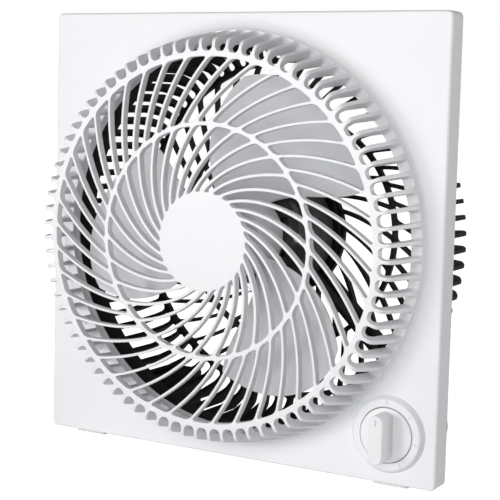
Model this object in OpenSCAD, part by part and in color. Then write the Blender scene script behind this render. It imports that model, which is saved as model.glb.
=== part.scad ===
// Square free-standing box fan with a raised spiral grille, a rear guard and a rotary speed knob.
// Row frame: +Z up, the front faces -Y, +X to the right. The origin is on the floor, below the
// middle of the overall box. Most pieces are drawn in the front view: X right, Y up from the fan
// axis, Z forwards from the panel's front face, and placed by front_view().

/* [Panel] */
// width and height of the square front panel
panel_w = 300; // [240:1:400]
// corner radius of the panel outline
panel_corner = 3.5; // [3:0.5:20]
// depth of the rim behind the panel face
rim_depth = 18; // [10:0.5:40]
// wall thickness of the front moulding
wall = 2.6; // [1.5:0.1:4]
// height of the rubber feet under the panel
foot_h = 2; // [1:0.5:10]

/* [Front grille] */
// height of the centre disc in front of the panel
disc_h = 42; // [20:0.5:60]
// radius of the plain centre disc
disc_r = 32; // [20:0.5:50]
// height of the outer ring in front of the panel
ring_h = 38.5; // [15:0.5:55]
// inner radius of the outer ring
ring_r = 119.2; // [90:0.1:130]
// radius where the side slots start
slot_r = 122.4; // [95:0.1:134]
// radius of the intermediate ring
mid_r = 76.2; // [50:0.1:100]
// width of the intermediate ring
mid_w = 2.6; // [1.5:0.1:6]
// axial depth of the ribs
rib_deep = 5.5; // [3:0.1:10]
// number of ribs in the outer row
outer_ribs = 45; // [20:1:60]
// number of ribs in the inner row
inner_ribs = 30; // [12:1:45]
// width of an outer rib
outer_rib_w = 1.8; // [1:0.1:4]
// width of an inner rib
inner_rib_w = 2; // [1:0.1:4]
// sweep of the ribs, in degrees for each natural-log unit of radius
sweep = 49.8; // [0:0.1:90]
// number of side fins
fin_n = 80; // [30:1:120]
// width of a side slot
slot_w = 7.6; // [3:0.1:12]
// radius of the grille wall where it meets the panel
wall_foot_r = 138; // [110:0.5:145]
// height above the panel where the side slots stop
slot_foot = 5; // [1:0.5:15]
// radius of the air opening in the panel
hole_r = 130; // [100:0.5:140]

/* [Rear guard] */
// depth of the rear face behind the panel face
guard_depth = 80; // [50:1:120]
// largest radius of the guard wall
guard_r = 139.5; // [110:0.5:145]
// depth where the side slots of the guard start
guard_slot_z = 26; // [15:0.5:60]
// number of bars in the outer row of the guard
guard_outer = 40; // [20:1:60]
// number of bars in the inner row of the guard
guard_inner = 24; // [12:1:45]
// width of a guard bar
guard_bar_w = 2.6; // [1.5:0.1:5]
// radius of the middle ring of the guard
guard_mid_r = 84; // [60:1:110]
// radius of the motor plate
plate_r = 44; // [35:0.5:60]
// sideways position of the rear legs
leg_x = 80; // [40:1:110]

/* [Impeller] */
// tip radius of the blades
blade_r = 115; // [80:0.5:118]
// number of blades
blades = 3; // [2:1:7]
// hub radius
hub_r = 27; // [18:0.5:31]
// axial height of a blade
blade_h = 28; // [10:0.5:40]
// blade thickness
blade_t = 2; // [1:0.1:4]

/* [Motor] */
// outer radius of the motor
motor_r = 41; // [30:0.5:43]
// radius of the motor shaft
shaft_r = 4; // [3:0.1:6]
// radial clearance of a running fit
run_gap = 0.03; // [0.01:0.01:0.1]
// air gap between the rotor and the stator
air_gap = 0.4; // [0.2:0.05:1]

/* [Control] */
// sideways position of the knob axis
knob_x = 117.3; // [60:0.1:125]
// height of the knob axis, from the fan axis
knob_y = -117.5; // [-125:0.1:-60]
// radius of the knob base
knob_r = 17.6; // [10:0.1:25]
// outer radius of the dial ring
dial_r = 24.9; // [15:0.1:32]
// height of the dial ring
dial_h = 4; // [1:0.1:8]
// height of the knob grip in front of the panel
grip_h = 21; // [10:0.5:30]
// outer radius of the switch cover
cup_r = 25; // [20:0.5:26]
// depth of the switch cover behind the panel face
cup_depth = 42.5; // [35:0.5:60]

/* [Hidden] */
$fn = 96;
axis_z = panel_w / 2 + foot_h;
panel_y = -(guard_depth - disc_h) / 2;
eps = 0.02;
guard_phase = 3;
lug_angles = [30, 60, 120, 150, 210, 240, 300, 330];
lug_r = 143;
lug_z = -10.2;
lug_t = 3;
bolt_r = 36.6;
bolt_angles = [0, 90, 180, 270];
stator_front = -40;
stator_back = -58;
cap_front = -24;
cap_back = -72;
plate_z = -72;
ear_step = 21.2;
lead_angle = -45;
lead_r = 2.5;
lead_z = -67;
lead_up_r = 122;
lead_out_z = -15;

white = [0.93, 0.94, 0.96];
black = [0.06, 0.06, 0.065];
blade_grey = [0.74, 0.75, 0.77];
steel = [0.62, 0.63, 0.65];
zinc = [0.78, 0.79, 0.8];
copper = [0.72, 0.4, 0.2];
bronze = [0.62, 0.47, 0.26];
rubber = [0.09, 0.09, 0.09];

// ---------- placing ----------
module front_view() {
  translate([0, panel_y, axis_z])
    rotate([90, 0, 0])
      children();
}

module at_knob() {
  translate([knob_x, knob_y, 0])
    children();
}

module ring_of(angles, r) {
  for (a = angles)
    rotate([0, 0, a])
      translate([r, 0, 0])
        children();
}

// ---------- shared shapes ----------
function polar(r, a) = [r * cos(a), r * sin(a)];

module rounded_square(w, r) {
  square([w - 2 * r, w], center = true);
  square([w, w - 2 * r], center = true);
  for (x = [-1, 1], y = [-1, 1])
    translate([x * (w / 2 - r), y * (w / 2 - r)])
      circle(r);
}

module tube(r_out, r_in, h) {
  difference() {
    cylinder(r = r_out, h = h);
    translate([0, 0, -1])
      cylinder(r = r_in, h = h + 2);
  }
}

// Corner inset of a cell side at a distance d from the cell's end.
function corner(d, c) = d >= c ? 0 : c - sqrt(c * c - (c - d) * (c - d));
// Radii along a cell side, closer together at its rounded ends.
function stations(r1, r2, c) = [
  r1, r1 + 0.13 * c, r1 + 0.5 * c, r1 + c,
  r1 + c + (r2 - r1 - 2 * c) * 0.33, r1 + c + (r2 - r1 - 2 * c) * 0.67,
  r2 - c, r2 - 0.5 * c, r2 - 0.13 * c, r2
];
// Angle of one side of a cell: side is -1 or 1, w is the rib's width.
function side_angle(r, r1, r2, c, pitch, w, k, side) =
  -k * ln(r / mid_r)
  + side * (pitch / 2 - (w / 2 / cos(atan(k * PI / 180)) + corner(min(r - r1, r2 - r), c)) / r * 180 / PI);
function cell_points(r1, r2, c, pitch, w, k) =
  let (
    rs = stations(r1, r2, c),
    n = len(rs)
  )
    concat(
      [for (i = [0 : n - 1]) polar(rs[i], side_angle(rs[i], r1, r2, c, pitch, w, k, -1))],
      [polar(r2, side_angle(r2, r1, r2, c, pitch, w, k, 0))],
      [for (i = [n - 1 : -1 : 0]) polar(rs[i], side_angle(rs[i], r1, r2, c, pitch, w, k, 1))],
      [polar(r1, side_angle(r1, r1, r2, c, pitch, w, k, 0))]
    );

// A row of n plain openings for the guard, with straight cut corners.
module bar_row(n, phase, r1, r2, w, k, z0, h) {
  pitch = 360 / n;
  rs = [r1, r1 + 2, (r1 * 2 + r2) / 3, (r1 + 2 * r2) / 3, r2 - 2, r2];
  cs = [1.4, 0, 0, 0, 0, 1.4];
  for (i = [0 : n - 1])
    rotate([0, 0, phase + (i + 0.5) * pitch])
      translate([0, 0, z0])
        linear_extrude(height = h)
          polygon(concat(
            [for (j = [0 : 5]) polar(rs[j], bar_angle(rs[j], pitch, w / 2 + cs[j], k, -1))],
            [for (j = [5 : -1 : 0]) polar(rs[j], bar_angle(rs[j], pitch, w / 2 + cs[j], k, 1))]
          ));
}
function bar_angle(r, pitch, w, k, side) =
  -k * ln(r / mid_r) + side * (pitch / 2 - w / cos(atan(k * PI / 180)) / r * 180 / PI);

// A row of n openings between two radii, with swept sides.
module cell_row(n, phase, r1, r2, c, w, k, z0, h) {
  for (i = [0 : n - 1])
    rotate([0, 0, phase + (i + 0.5) * 360 / n])
      translate([0, 0, z0])
        linear_extrude(height = h)
          polygon(cell_points(r1, r2, c, 360 / n, w, k));
}

// A ring of n slots that start round at a radius and run out past the wall.
module slot_row(n, phase, r, w, z0, h, step = 22.5) {
  for (i = [0 : n - 1])
    rotate([0, 0, phase + (i + 0.5) * 360 / n])
      translate([0, 0, z0])
        linear_extrude(height = h)
          polygon(concat(
            [for (a = [90 : step : 270]) [r + w / 2 + w / 2 * cos(a), w / 2 * sin(a)]],
            [[152, -w / 2], [152, w / 2]]
          ));
}

// A quarter-round of a profile, from angle a0 to a1.
function bend(cx, cy, r, a0, a1, n) =
  [for (i = [0 : n]) [cx + r * cos(a0 + (a1 - a0) * i / n), cy + r * sin(a0 + (a1 - a0) * i / n)]];

// ---------- front moulding ----------
module grille_profile() {
  polygon(concat(
    [[0, disc_h], [disc_r - 0.6, disc_h], [ring_r + 0.6, ring_h], [slot_r + 4, ring_h]],
    bend(slot_r + 4, ring_h - 6.6, 6.6, 72, 9, 4),
    [[wall_foot_r - 1.5, 10], [wall_foot_r - 0.3, 6.2], [wall_foot_r + 1.7, 3.1],
     [wall_foot_r + 5, 1.1], [wall_foot_r + 9.4, -0.6], [wall_foot_r + 9.4, -1.2],
     [hole_r + 0.8, -1.2],
     [slot_r + 5, ring_h - 9], [slot_r + 3, ring_h - 6.5], [ring_r + 0.6, ring_h - rib_deep],
     [disc_r - 0.6, disc_h - rib_deep], [disc_r - 2, disc_h - rib_deep],
     [disc_r - 2, disc_h - 2.2], [0, disc_h - 2.2]]
  ));
}

module panel_shell() {
  difference() {
    translate([0, 0, -rim_depth])
      linear_extrude(height = rim_depth)
        rounded_square(panel_w, panel_corner);
    translate([0, 0, -rim_depth - 1])
      linear_extrude(height = rim_depth + 1 - wall)
        rounded_square(panel_w - 2 * wall, panel_corner - wall);
    translate([0, 0, -wall - 1])
      cylinder(r = hole_r, h = wall + 2);
    at_knob()
      translate([0, 0, -wall - 1])
        cylinder(r = 5.1, h = wall + 2);
  }
}

module dial_ring() {
  at_knob()
    rotate_extrude()
      polygon([
        [knob_r + 0.5, -1], [dial_r, -1], [dial_r, dial_h - 1.6],
        [dial_r - 0.5, dial_h - 0.5], [dial_r - 1.6, dial_h], [knob_r + 0.5, dial_h]
      ]);
}

module front_cover() {
  color(white)
    front_view() {
      difference() {
        union() {
          rotate_extrude()
            grille_profile();
          panel_shell();
          ring_of(lug_angles, lug_r)
            translate([0, 0, lug_z])
              cylinder(r = 3.2, h = -lug_z - 1);
          at_knob()
            for (s = [-1, 1])
              translate([s * ear_step, s * ear_step, lug_z + 2])
                cylinder(r = 3.4, h = -lug_z - 3);
        }
        cell_row(outer_ribs, 0.5, mid_r + mid_w / 2, ring_r, 1.9, outer_rib_w, sweep, disc_h - 14, 20);
        cell_row(inner_ribs, 0.5, disc_r, mid_r - mid_w / 2, 1.9, inner_rib_w, sweep, disc_h - 14, 20);
        slot_row(fin_n, guard_phase, slot_r, slot_w, slot_foot, disc_h + 6);
        ring_of(lug_angles, lug_r)
          translate([0, 0, lug_z - 1])
            cylinder(r = 1.25, h = 7);
        at_knob()
          for (s = [-1, 1])
            translate([s * ear_step, s * ear_step, lug_z + 1])
              cylinder(r = 1.25, h = 6);
      }
      dial_ring();
    }
}

// ---------- rear guard ----------
module guard_profile() {
  d = guard_depth;
  polygon(concat(
    [[hole_r + 0.2, -wall - 0.3], [hole_r + 2.8, -wall - 0.3], [guard_r, -9], [guard_r, -guard_slot_z + 4]],
    bend(guard_r - 11.2, -d + 7, 7, -5, -80, 4),
    [[slot_r + 2, -d], [plate_r - 2.5, -d], [plate_r - 2.5, plate_z - 3], [9.5, plate_z - 3],
     [9.5, plate_z], [plate_r, plate_z], [plate_r, -d + 5], [slot_r - 1, -d + 5],
     [guard_r - 11, -d + 11], [guard_r - 6, -guard_slot_z + 3], [hole_r + 3, -12], [hole_r + 0.2, -9]]
  ));
}

module guard_leg() {
  translate([leg_x - 9, 0, 0])
    rotate([90, 0, 90])
      linear_extrude(height = 18)
        polygon([
          [-112, -30], [-146, -30], [-panel_w / 2, -34], [-panel_w / 2, -guard_depth + 4],
          [-panel_w / 2 + 4, -guard_depth], [-112, -guard_depth]
        ]);
}

module lead_spoke() {
  rotate([0, 0, lead_angle])
    difference() {
      translate([plate_r - 1, -5.5, -guard_depth + 0.6])
        cube([83, 11, 12.4]);
      translate([plate_r - 3, -3, lead_z - 3])
        cube([83, 6, 12]);
    }
}

module rear_guard() {
  color(black)
    front_view()
      difference() {
        union() {
          difference() {
            rotate_extrude()
              guard_profile();
            bar_row(guard_outer, 2, guard_mid_r + 1.5, ring_r, guard_bar_w, 35, -guard_depth - 2, 9);
            bar_row(guard_inner, 2, plate_r + 1.5, guard_mid_r - 1.5, guard_bar_w, 35, -guard_depth - 2, 9);
            slot_row(fin_n, guard_phase, slot_r, slot_w, -guard_depth - 2, guard_depth + 2 - guard_slot_z, 45);
          }
          ring_of(lug_angles, lug_r)
            translate([0, 0, lug_z - lug_t])
              cylinder(r = 6, h = lug_t);
          for (m = [0, 1])
            mirror([m, 0, 0])
              difference() {
                guard_leg();
                translate([0, 0, -guard_depth - 1])
                  cylinder(r = guard_r - 5, h = guard_depth);
              }
          lead_spoke();
        }
        ring_of(lug_angles, lug_r)
          translate([0, 0, lug_z - lug_t - 1])
            cylinder(r = 1.7, h = lug_t + 2);
        ring_of(bolt_angles, bolt_r)
          translate([0, 0, plate_z - 4])
            cylinder(r = 1.7, h = 6);
        rotate([0, 0, lead_angle])
          translate([lead_up_r, 0, lead_out_z])
            rotate([0, 90, 0])
              cylinder(r = lead_r + 0.3, h = 30);
      }
}

// ---------- impeller ----------
function edge_back(r) = 21.5 + 0.0075 * pow(max(0, 92 - r), 2);
function edge_front(r) = 103 - 23 * pow(max(0, r - 50) / 64, 1.5);
function tip_at(v) = blade_r - 18 * pow(1 - v, 2.2) - 7 * pow(v, 10);
function blade_z(v) = -blade_h / 2 + blade_h * (0.9 * v + 0.1 * v * v);
function blade_point(u, v, side) =
  let (
    r = hub_r - 1.2 + u * (tip_at(v) - hub_r + 1.2),
    a = edge_back(r) + v * (edge_front(r) - edge_back(r))
  )
    [r * cos(a), r * sin(a), blade_z(v) + side * blade_t / 2 * (1 - 0.35 * u)];

module blade() {
  nu = 12;
  nv = 12;
  w = nv + 1;
  top = [for (i = [0 : nu], j = [0 : nv]) blade_point(i / nu, j / nv, 1)];
  low = [for (i = [0 : nu], j = [0 : nv]) blade_point(i / nu, j / nv, -1)];
  n = len(top);
  skin = [for (i = [0 : nu - 1], j = [0 : nv - 1]) let (p = i * w + j)
    each [[p, p + 1, p + w], [p + 1, p + w + 1, p + w]]];
  under = [for (f = skin) [f[0] + n, f[2] + n, f[1] + n]];
  rim = concat(
    [for (j = [0 : nv]) j],
    [for (i = [1 : nu]) i * w + nv],
    [for (j = [nv - 1 : -1 : 0]) nu * w + j],
    [for (i = [nu - 1 : -1 : 1]) i * w]
  );
  m = len(rim);
  sides = [for (k = [0 : m - 1]) let (a = rim[k], b = rim[(k + 1) % m])
    each [[a, a + n, b + n], [a, b + n, b]]];
  polyhedron(points = concat(top, low), faces = concat(skin, under, sides));
}

module impeller() {
  color(blade_grey)
    front_view()
      difference() {
        union() {
          rotate_extrude()
            polygon(concat(
              [[0, -20], [9, -20], [9, 9], [hub_r - 2.2, 9], [hub_r - 2.2, -20], [hub_r, -20]],
              bend(hub_r - 6, 8, 6, 0, 90, 4),
              [[0, 14]]
            ));
          for (i = [0 : blades - 1])
            rotate([0, 0, i * 360 / blades])
              blade();
        }
        translate([0, 0, -21])
          cylinder(r = shaft_r, h = 40);
        translate([-8.2, -1.4, -21])
          cube([16.4, 2.8, 4]);
      }
}

module blade_nut() {
  color(white)
    front_view()
      difference() {
        rotate_extrude()
          polygon(concat(
            [[0, 14.1], [13, 14.1], [13, 17], [11, 22]],
            bend(6, 21, 5, 12, 90, 4),
            [[0, 26]]
          ));
        translate([0, 0, 13])
          cylinder(r = shaft_r, h = 9);
        ring_of([for (i = [0 : 11]) i * 30], 13.6)
          translate([0, 0, 13])
            cylinder(r = 1.4, h = 7, $fn = 24);
      }
}

module motor_shaft() {
  color(steel)
    front_view()
      difference() {
        translate([0, 0, -73])
          cylinder(r = shaft_r - run_gap, h = 94.8);
        translate([-10, 0, -18.9])
          rotate([0, 90, 0])
            cylinder(r = 1.25, h = 20);
      }
}

module drive_pin() {
  color(steel)
    front_view()
      translate([-8, 0, -18.9])
        rotate([0, 90, 0])
          cylinder(r = 1.23, h = 16);
}

// ---------- motor ----------
module rotor_core() {
  color(steel)
    front_view()
      translate([0, 0, stator_back])
        difference() {
          cylinder(r = 21, h = stator_front - stator_back);
          translate([0, 0, -1])
            cylinder(r = shaft_r, h = 30);
        }
}

module rotor_cage() {
  color(zinc)
    front_view() {
      translate([0, 0, stator_front + eps])
        tube(20, 13, 4);
      translate([0, 0, stator_back - 4 - eps])
        tube(20, 13, 4);
      ring_of([for (i = [0 : 11]) i * 30], 16.5)
        translate([0, 0, stator_front + 4])
          cylinder(r = 1.1, h = 2.4, $fn = 24);
    }
}

module shaft_washers() {
  color(white)
    front_view() {
      translate([0, 0, stator_front + eps])
        tube(7, shaft_r, 3.8);
      translate([0, 0, stator_back - 3.8 - eps])
        tube(7, shaft_r, 3.8);
    }
}

module stator_core() {
  color(black)
    front_view()
      translate([0, 0, stator_back])
        difference() {
          cylinder(r = motor_r, h = stator_front - stator_back);
          translate([0, 0, -1])
            cylinder(r = 21 + air_gap, h = 30);
          ring_of([for (i = [0 : 15]) i * 22.5 + 11.25], 28)
            translate([-4, -1.6, -1])
              cube([8, 3.2, 30]);
          ring_of(bolt_angles, bolt_r)
            translate([0, 0, -1])
              cylinder(r = 1.65, h = 30);
        }
}

module winding_head(z) {
  translate([0, 0, z])
    rotate_extrude()
      polygon(concat(
        [[24, 0], [32.5, 0]],
        bend(30.5, 6.4, 2.4, 0, 90, 3),
        bend(26.5, 6.4, 2.4, 90, 180, 3)
      ));
}

module windings() {
  color(copper)
    front_view() {
      winding_head(stator_front + 0.1);
      mirror([0, 0, 1])
        winding_head(-stator_back + 0.1);
      ring_of([for (i = [0 : 15]) i * 22.5 + 11.25], 28)
        translate([-3.8, -1.5, stator_back + 0.3])
          cube([7.6, 3, stator_front - stator_back - 0.3]);
    }
}

// Pressed end cap with a bearing seat; z grows away from the stator.
module end_cap(depth) {
  difference() {
    rotate_extrude()
      polygon([
        [motor_r, 0], [motor_r, depth - 4], [motor_r - 1.2, depth - 1.2], [motor_r - 4, depth],
        [8.1, depth], [8.1, depth - 9.5], [10, depth - 9.5], [10, depth - 1.6],
        [motor_r - 4.6, depth - 1.6], [motor_r - 1.6, depth - 4.4], [motor_r - 1.6, 0]
      ]);
    ring_of([for (i = [0 : 7]) i * 45 + 22.5], 23)
      translate([-7, -3, depth - 3])
        cube([14, 6, 6]);
    ring_of(bolt_angles, bolt_r - 0.4)
      translate([0, 0, depth - 6])
        cylinder(r = 2, h = 8);
  }
}

module motor_front_cap() {
  color(black)
    front_view()
      translate([0, 0, stator_front])
        end_cap(cap_front - stator_front);
}

module motor_rear_cap() {
  color(black)
    front_view()
      difference() {
        translate([0, 0, stator_back])
          mirror([0, 0, 1])
            end_cap(stator_back - cap_back);
        rotate([0, 0, lead_angle])
          translate([30, 0, lead_z])
            rotate([0, 90, 0])
              cylinder(r = lead_r + 0.2, h = 20);
      }
}

module front_bearing() {
  color(bronze)
    front_view()
      translate([0, 0, cap_front - 9.4])
        tube(8.1, shaft_r, 9.2);
}

module rear_bearing() {
  color(bronze)
    front_view()
      translate([0, 0, cap_back + 0.2])
        tube(8.1, shaft_r, 9.2);
}

module motor_bolts() {
  color(steel)
    front_view()
      ring_of(bolt_angles, bolt_r) {
        translate([0, 0, plate_z - 6])
          cylinder(r = 1.5, h = -plate_z + 6 + cap_front + 0.2);
        translate([0, 0, cap_front + 0.1])
          cylinder(r = 2.9, h = 2);
      }
}

module motor_nuts() {
  color(steel)
    front_view()
      ring_of(bolt_angles, bolt_r)
        translate([0, 0, plate_z - 5.5])
          difference() {
            cylinder(r = 3.1, h = 2.4, $fn = 6);
            translate([0, 0, -1])
              cylinder(r = 1.5, h = 5);
          }
}

// Three-core lead from the motor, out along its spoke and forwards to the switch.
module motor_lead() {
  b = 6;
  color(black)
    front_view()
      rotate([0, 0, lead_angle]) {
        translate([motor_r - 6, 0, lead_z])
          rotate([0, 90, 0])
            cylinder(r = lead_r, h = lead_up_r - b - motor_r + 6);
        translate([lead_up_r - b, 0, lead_z + b])
          rotate([90, 0, 0])
            rotate([0, 0, -90])
              rotate_extrude(angle = 90)
                translate([b, 0])
                  circle(lead_r);
        translate([lead_up_r, 0, lead_z + b])
          cylinder(r = lead_r, h = lead_out_z - lead_z - 2 * b);
        translate([lead_up_r + b, 0, lead_out_z - b])
          rotate([90, 0, 0])
            rotate([0, 0, 90])
              rotate_extrude(angle = 90)
                translate([b, 0])
                  circle(lead_r);
        translate([lead_up_r + b, 0, lead_out_z])
          rotate([0, 90, 0])
            cylinder(r = lead_r, h = 17.5);
      }
}

// ---------- control ----------
module knob() {
  color(white)
    front_view()
      at_knob()
        difference() {
          union() {
            rotate_extrude()
              polygon([[0, 0.8], [knob_r, 0.8], [knob_r, 4], [knob_r - 0.6, 4.6], [0, 4.6]]);
            difference() {
              union() {
                translate([-5, -11, 4])
                  cube([10, 22, grip_h - 4]);
                for (s = [-1, 1])
                  translate([0, s * 10.6, 4])
                    cylinder(r = 5, h = grip_h - 4);
              }
              translate([-0.6, 9, grip_h - 0.5])
                cube([1.2, 5, 1]);
            }
          }
          translate([0, 0, -1])
            cylinder(r = 3, h = 14);
          translate([0, 0, -1])
            cylinder(r = 9.5, h = 4);
        }
}

module switch_shaft() {
  color(zinc)
    front_view()
      at_knob()
        translate([0, 0, -12])
          cylinder(r = 3 - run_gap, h = 24.5);
}

module rotary_switch() {
  color(black)
    front_view()
      at_knob()
        difference() {
          union() {
            translate([-12, -12, -22])
              cube([24, 24, 22 - wall - 0.2]);
            translate([0, 0, -wall - 1])
              cylinder(r = 4.9, h = wall + 2.6);
            for (i = [0 : 3])
              translate([-9 + i * 6, -3.2, -27])
                cube([0.9, 6.4, 6]);
          }
          translate([0, 0, -12.5])
            cylinder(r = 3, h = 20);
        }
}

module switch_nut() {
  color(zinc)
    front_view()
      at_knob()
        translate([0, 0, 0.1])
          difference() {
            cylinder(r = 7.5, h = 1.8, $fn = 6);
            translate([0, 0, -1])
              cylinder(r = 4.95, h = 5);
          }
}

module switch_cover() {
  color(black)
    front_view()
      at_knob()
        difference() {
          union() {
            rotate_extrude()
              polygon(concat(
                [[cup_r - 2.2, -wall - 0.3], [cup_r, -wall - 0.3]],
                bend(cup_r - 4, -cup_depth + 4, 4, 0, -90, 4),
                [[0, -cup_depth], [0, -cup_depth + 2.2], [cup_r - 4.4, -cup_depth + 2.2],
                 [cup_r - 2.2, -cup_depth + 4.4]]
              ));
            for (s = [-1, 1])
              difference() {
                translate([s * ear_step, s * ear_step, lug_z - 1])
                  cylinder(r = 5, h = 3);
                translate([0, 0, -30])
                  cylinder(r = cup_r - 1, h = 40);
              }
          }
          for (s = [-1, 1])
            translate([s * ear_step, s * ear_step, -30])
              cylinder(r = 1.7, h = 30);
          translate([0, 0, -cup_depth - 1])
            cylinder(r = 5.1, h = 5);
          rotate([0, 0, 135])
            translate([cup_r - 5, 0, lead_out_z])
              rotate([0, 90, 0])
                cylinder(r = lead_r + 0.2, h = 10);
        }
}

module switch_cover_screws() {
  color(steel)
    front_view()
      at_knob()
        for (s = [-1, 1])
          translate([s * ear_step, s * ear_step, lug_z - 1]) {
            translate([0, 0, -2])
              cylinder(r = 2.8, h = 1.9);
            translate([0, 0, -0.5])
              cylinder(r = 1.2, h = 6.5);
          }
}

module capacitor() {
  color(white)
    front_view()
      at_knob()
        translate([-14, -8, -39.5])
          cube([28, 16, 10.5]);
}

module wire_caps() {
  color(white)
    front_view()
      at_knob()
        for (s = [-1, 1])
          translate([s * 5, -14.6, -38])
            cylinder(r = 3, h = 14);
}

module cord_gland() {
  color(rubber)
    front_view()
      at_knob()
        difference() {
          union() {
            translate([0, 0, -cup_depth - 2])
              cylinder(r = 8, h = 1.9);
            translate([0, 0, -cup_depth - 1])
              cylinder(r = 5, h = 3.6);
            translate([0, 0, -cup_depth - 10])
              cylinder(r1 = 4.6, r2 = 6, h = 8.5);
          }
          translate([0, 0, -cup_depth - 11])
            cylinder(r = 3.4, h = 15);
        }
}

// ---------- fastenings and feet ----------
module cover_screws() {
  color(steel)
    front_view()
      ring_of(lug_angles, lug_r)
        translate([0, 0, lug_z - lug_t]) {
          translate([0, 0, -2.1])
            cylinder(r = 3, h = 2);
          translate([0, 0, -0.5])
            cylinder(r = 1.2, h = 8.5);
        }
}

module foot_pad(w, d) {
  linear_extrude(height = foot_h)
    union() {
      square([w, d - 4], center = true);
      square([w - 4, d], center = true);
      for (x = [-1, 1], y = [-1, 1])
        translate([x * (w / 2 - 2), y * (d / 2 - 2)])
          circle(2);
    }
}

module front_feet() {
  color(rubber)
    for (s = [-1, 1])
      translate([s * 118, panel_y + rim_depth / 2, 0])
        foot_pad(24, 12);
}

module rear_feet() {
  color(rubber)
    for (s = [-1, 1])
      translate([s * leg_x, panel_y + guard_depth - 24, 0])
        foot_pad(14, 32);
}

front_cover();
rear_guard();
impeller();
blade_nut();
motor_shaft();
drive_pin();
rotor_core();
rotor_cage();
shaft_washers();
stator_core();
windings();
motor_front_cap();
motor_rear_cap();
front_bearing();
rear_bearing();
motor_bolts();
motor_nuts();
motor_lead();
knob();
switch_shaft();
rotary_switch();
switch_nut();
switch_cover();
switch_cover_screws();
capacitor();
wire_caps();
cord_gland();
cover_screws();
front_feet();
rear_feet();
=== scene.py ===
"""Square box fan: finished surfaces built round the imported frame."""
import math

import bmesh
import bpy
from mathutils import Matrix, Vector


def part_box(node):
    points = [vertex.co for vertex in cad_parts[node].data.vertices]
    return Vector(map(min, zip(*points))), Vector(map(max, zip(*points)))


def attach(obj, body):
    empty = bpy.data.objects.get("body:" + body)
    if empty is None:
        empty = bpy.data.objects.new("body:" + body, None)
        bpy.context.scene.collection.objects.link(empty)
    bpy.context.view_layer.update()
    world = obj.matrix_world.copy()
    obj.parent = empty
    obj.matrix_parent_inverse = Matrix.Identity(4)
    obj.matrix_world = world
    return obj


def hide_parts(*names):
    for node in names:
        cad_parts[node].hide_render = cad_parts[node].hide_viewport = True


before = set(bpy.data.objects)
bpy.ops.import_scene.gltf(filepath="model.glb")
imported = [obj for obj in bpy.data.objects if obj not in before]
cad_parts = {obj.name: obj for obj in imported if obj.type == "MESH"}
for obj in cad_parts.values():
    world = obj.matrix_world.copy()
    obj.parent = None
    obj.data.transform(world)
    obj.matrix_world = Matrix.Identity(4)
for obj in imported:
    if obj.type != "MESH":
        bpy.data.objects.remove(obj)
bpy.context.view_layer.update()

# ---------- sizes, in millimetres in the front view ----------
# X right, Y up from the fan axis, Z forwards from the panel face
# the panel, its rim and its round opening
PANEL = 300.0
PANEL_CORNER = 3.5
RIM = 18.0
WALL = 2.6
HOLE_R = 130.0
# the grille: disc, ribs, middle ring and outer ring
DISC_H, DISC_R, DISC_SKIN = 42.0, 32.0, 2.2
RING_H, RING_R, RING_DEEP = 38.5, 119.2, 6.2
MID_R, MID_W = 76.2, 2.6
INNER_RIBS, OUTER_RIBS, RIB_DEEP = 30, 45, 5.5
RIB_PHASE = math.radians(0.5)
SWEEP = math.radians(49.8)
# the side fins, the slots between them and the foot that they stand on
SLOT_R, SLOT_W, FIN_COUNT, FIN_PHASE = 122.4, 7.6, 80, math.radians(3.0)
FOOT_R, FOOT_TOP, FOOT_FLARE, FOOT_LOW = 138.0, 5.0, 9.6, -0.6
# the rear guard, its motor plate, its bars and its legs
GUARD_D, GUARD_R, GUARD_SLOT, GUARD_WALL = 80.0, 139.5, 26.0, 6
GUARD_MID, GUARD_MID_HALF = 84.0, 1.5
GUARD_DEEP, GUARD_RING_DEEP = 5, 5.2
GUARD_INNER_BARS, GUARD_OUTER_BARS = 24, 40
GUARD_SWEEP, GUARD_PHASE = math.radians(35), math.radians(2)
PLATE_R, PLATE_Z, PLATE_THICK, PLATE_HOLE = 44.0, 72.0, 3, 9.5
LEG_X, LEG_HALF = 80.0, 9
LEAD_ANGLE = -45.0
# the lugs that join the cover and the guard; each lug has another half a turn on
LUG_R, LUG_ANGLES = 143.0, (30, 60, 120, 150)
# the knob, the dial ring and the cup behind them
KNOB_R, DIAL_R, DIAL_H, GRIP_H = 17.6, 24.9, 4.0, 21.0
GRIP_HALF, GRIP_REACH = 5.0, 10.6
CUP_R, CUP_D, CUP_WALL, GLAND_HOLE = 25.0, 42.5, 2.2, 5.1
EAR = 21.2
# the impeller
HUB_R, HUB_FRONT, HUB_BACK, HUB_WALL = 27.0, 14, -20, 2.2
SOCKET_R, SHAFT_HOLE = 9, 4.02
BLADES, BLADE_R, BLADE_H, BLADE_T = 3, 115.0, 28.0, 2.0
# holes for screws, and the pads
SCREW_HOLE, BOSS_HOLE = 1.7, 1.25
FOOT_H, FRONT_PAD_W, REAR_PAD_W = 2.0, 24.0, 14.0

# ---------- places, read from the frame ----------
cover_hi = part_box("front_cover")[1]
shaft_lo, shaft_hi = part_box("motor_shaft")
knob_lo, knob_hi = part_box("knob")
FACE_Y = cover_hi.y - RIM / 1000
AXIS = Vector(((shaft_lo.x + shaft_hi.x) / 2, FACE_Y, (shaft_lo.z + shaft_hi.z) / 2))
KNOB_AT = Vector(((knob_lo.x + knob_hi.x) / 2, FACE_Y, (knob_lo.z + knob_hi.z) / 2))
UPRIGHT = Matrix.Rotation(math.radians(90), 4, "X") @ Matrix.Scale(0.001, 4)
FRONT_VIEW = Matrix.Translation(AXIS) @ UPRIGHT
KNOB_VIEW = Matrix.Translation(KNOB_AT) @ UPRIGHT
TO_METRES = Matrix.Scale(0.001, 4)
# stands an outline that was drawn flat on its side, so that it rises along X
SIDE_ON = Matrix(((0, 0, 1, 0), (1, 0, 0, 0), (0, 1, 0, 0), (0, 0, 0, 1)))


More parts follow.
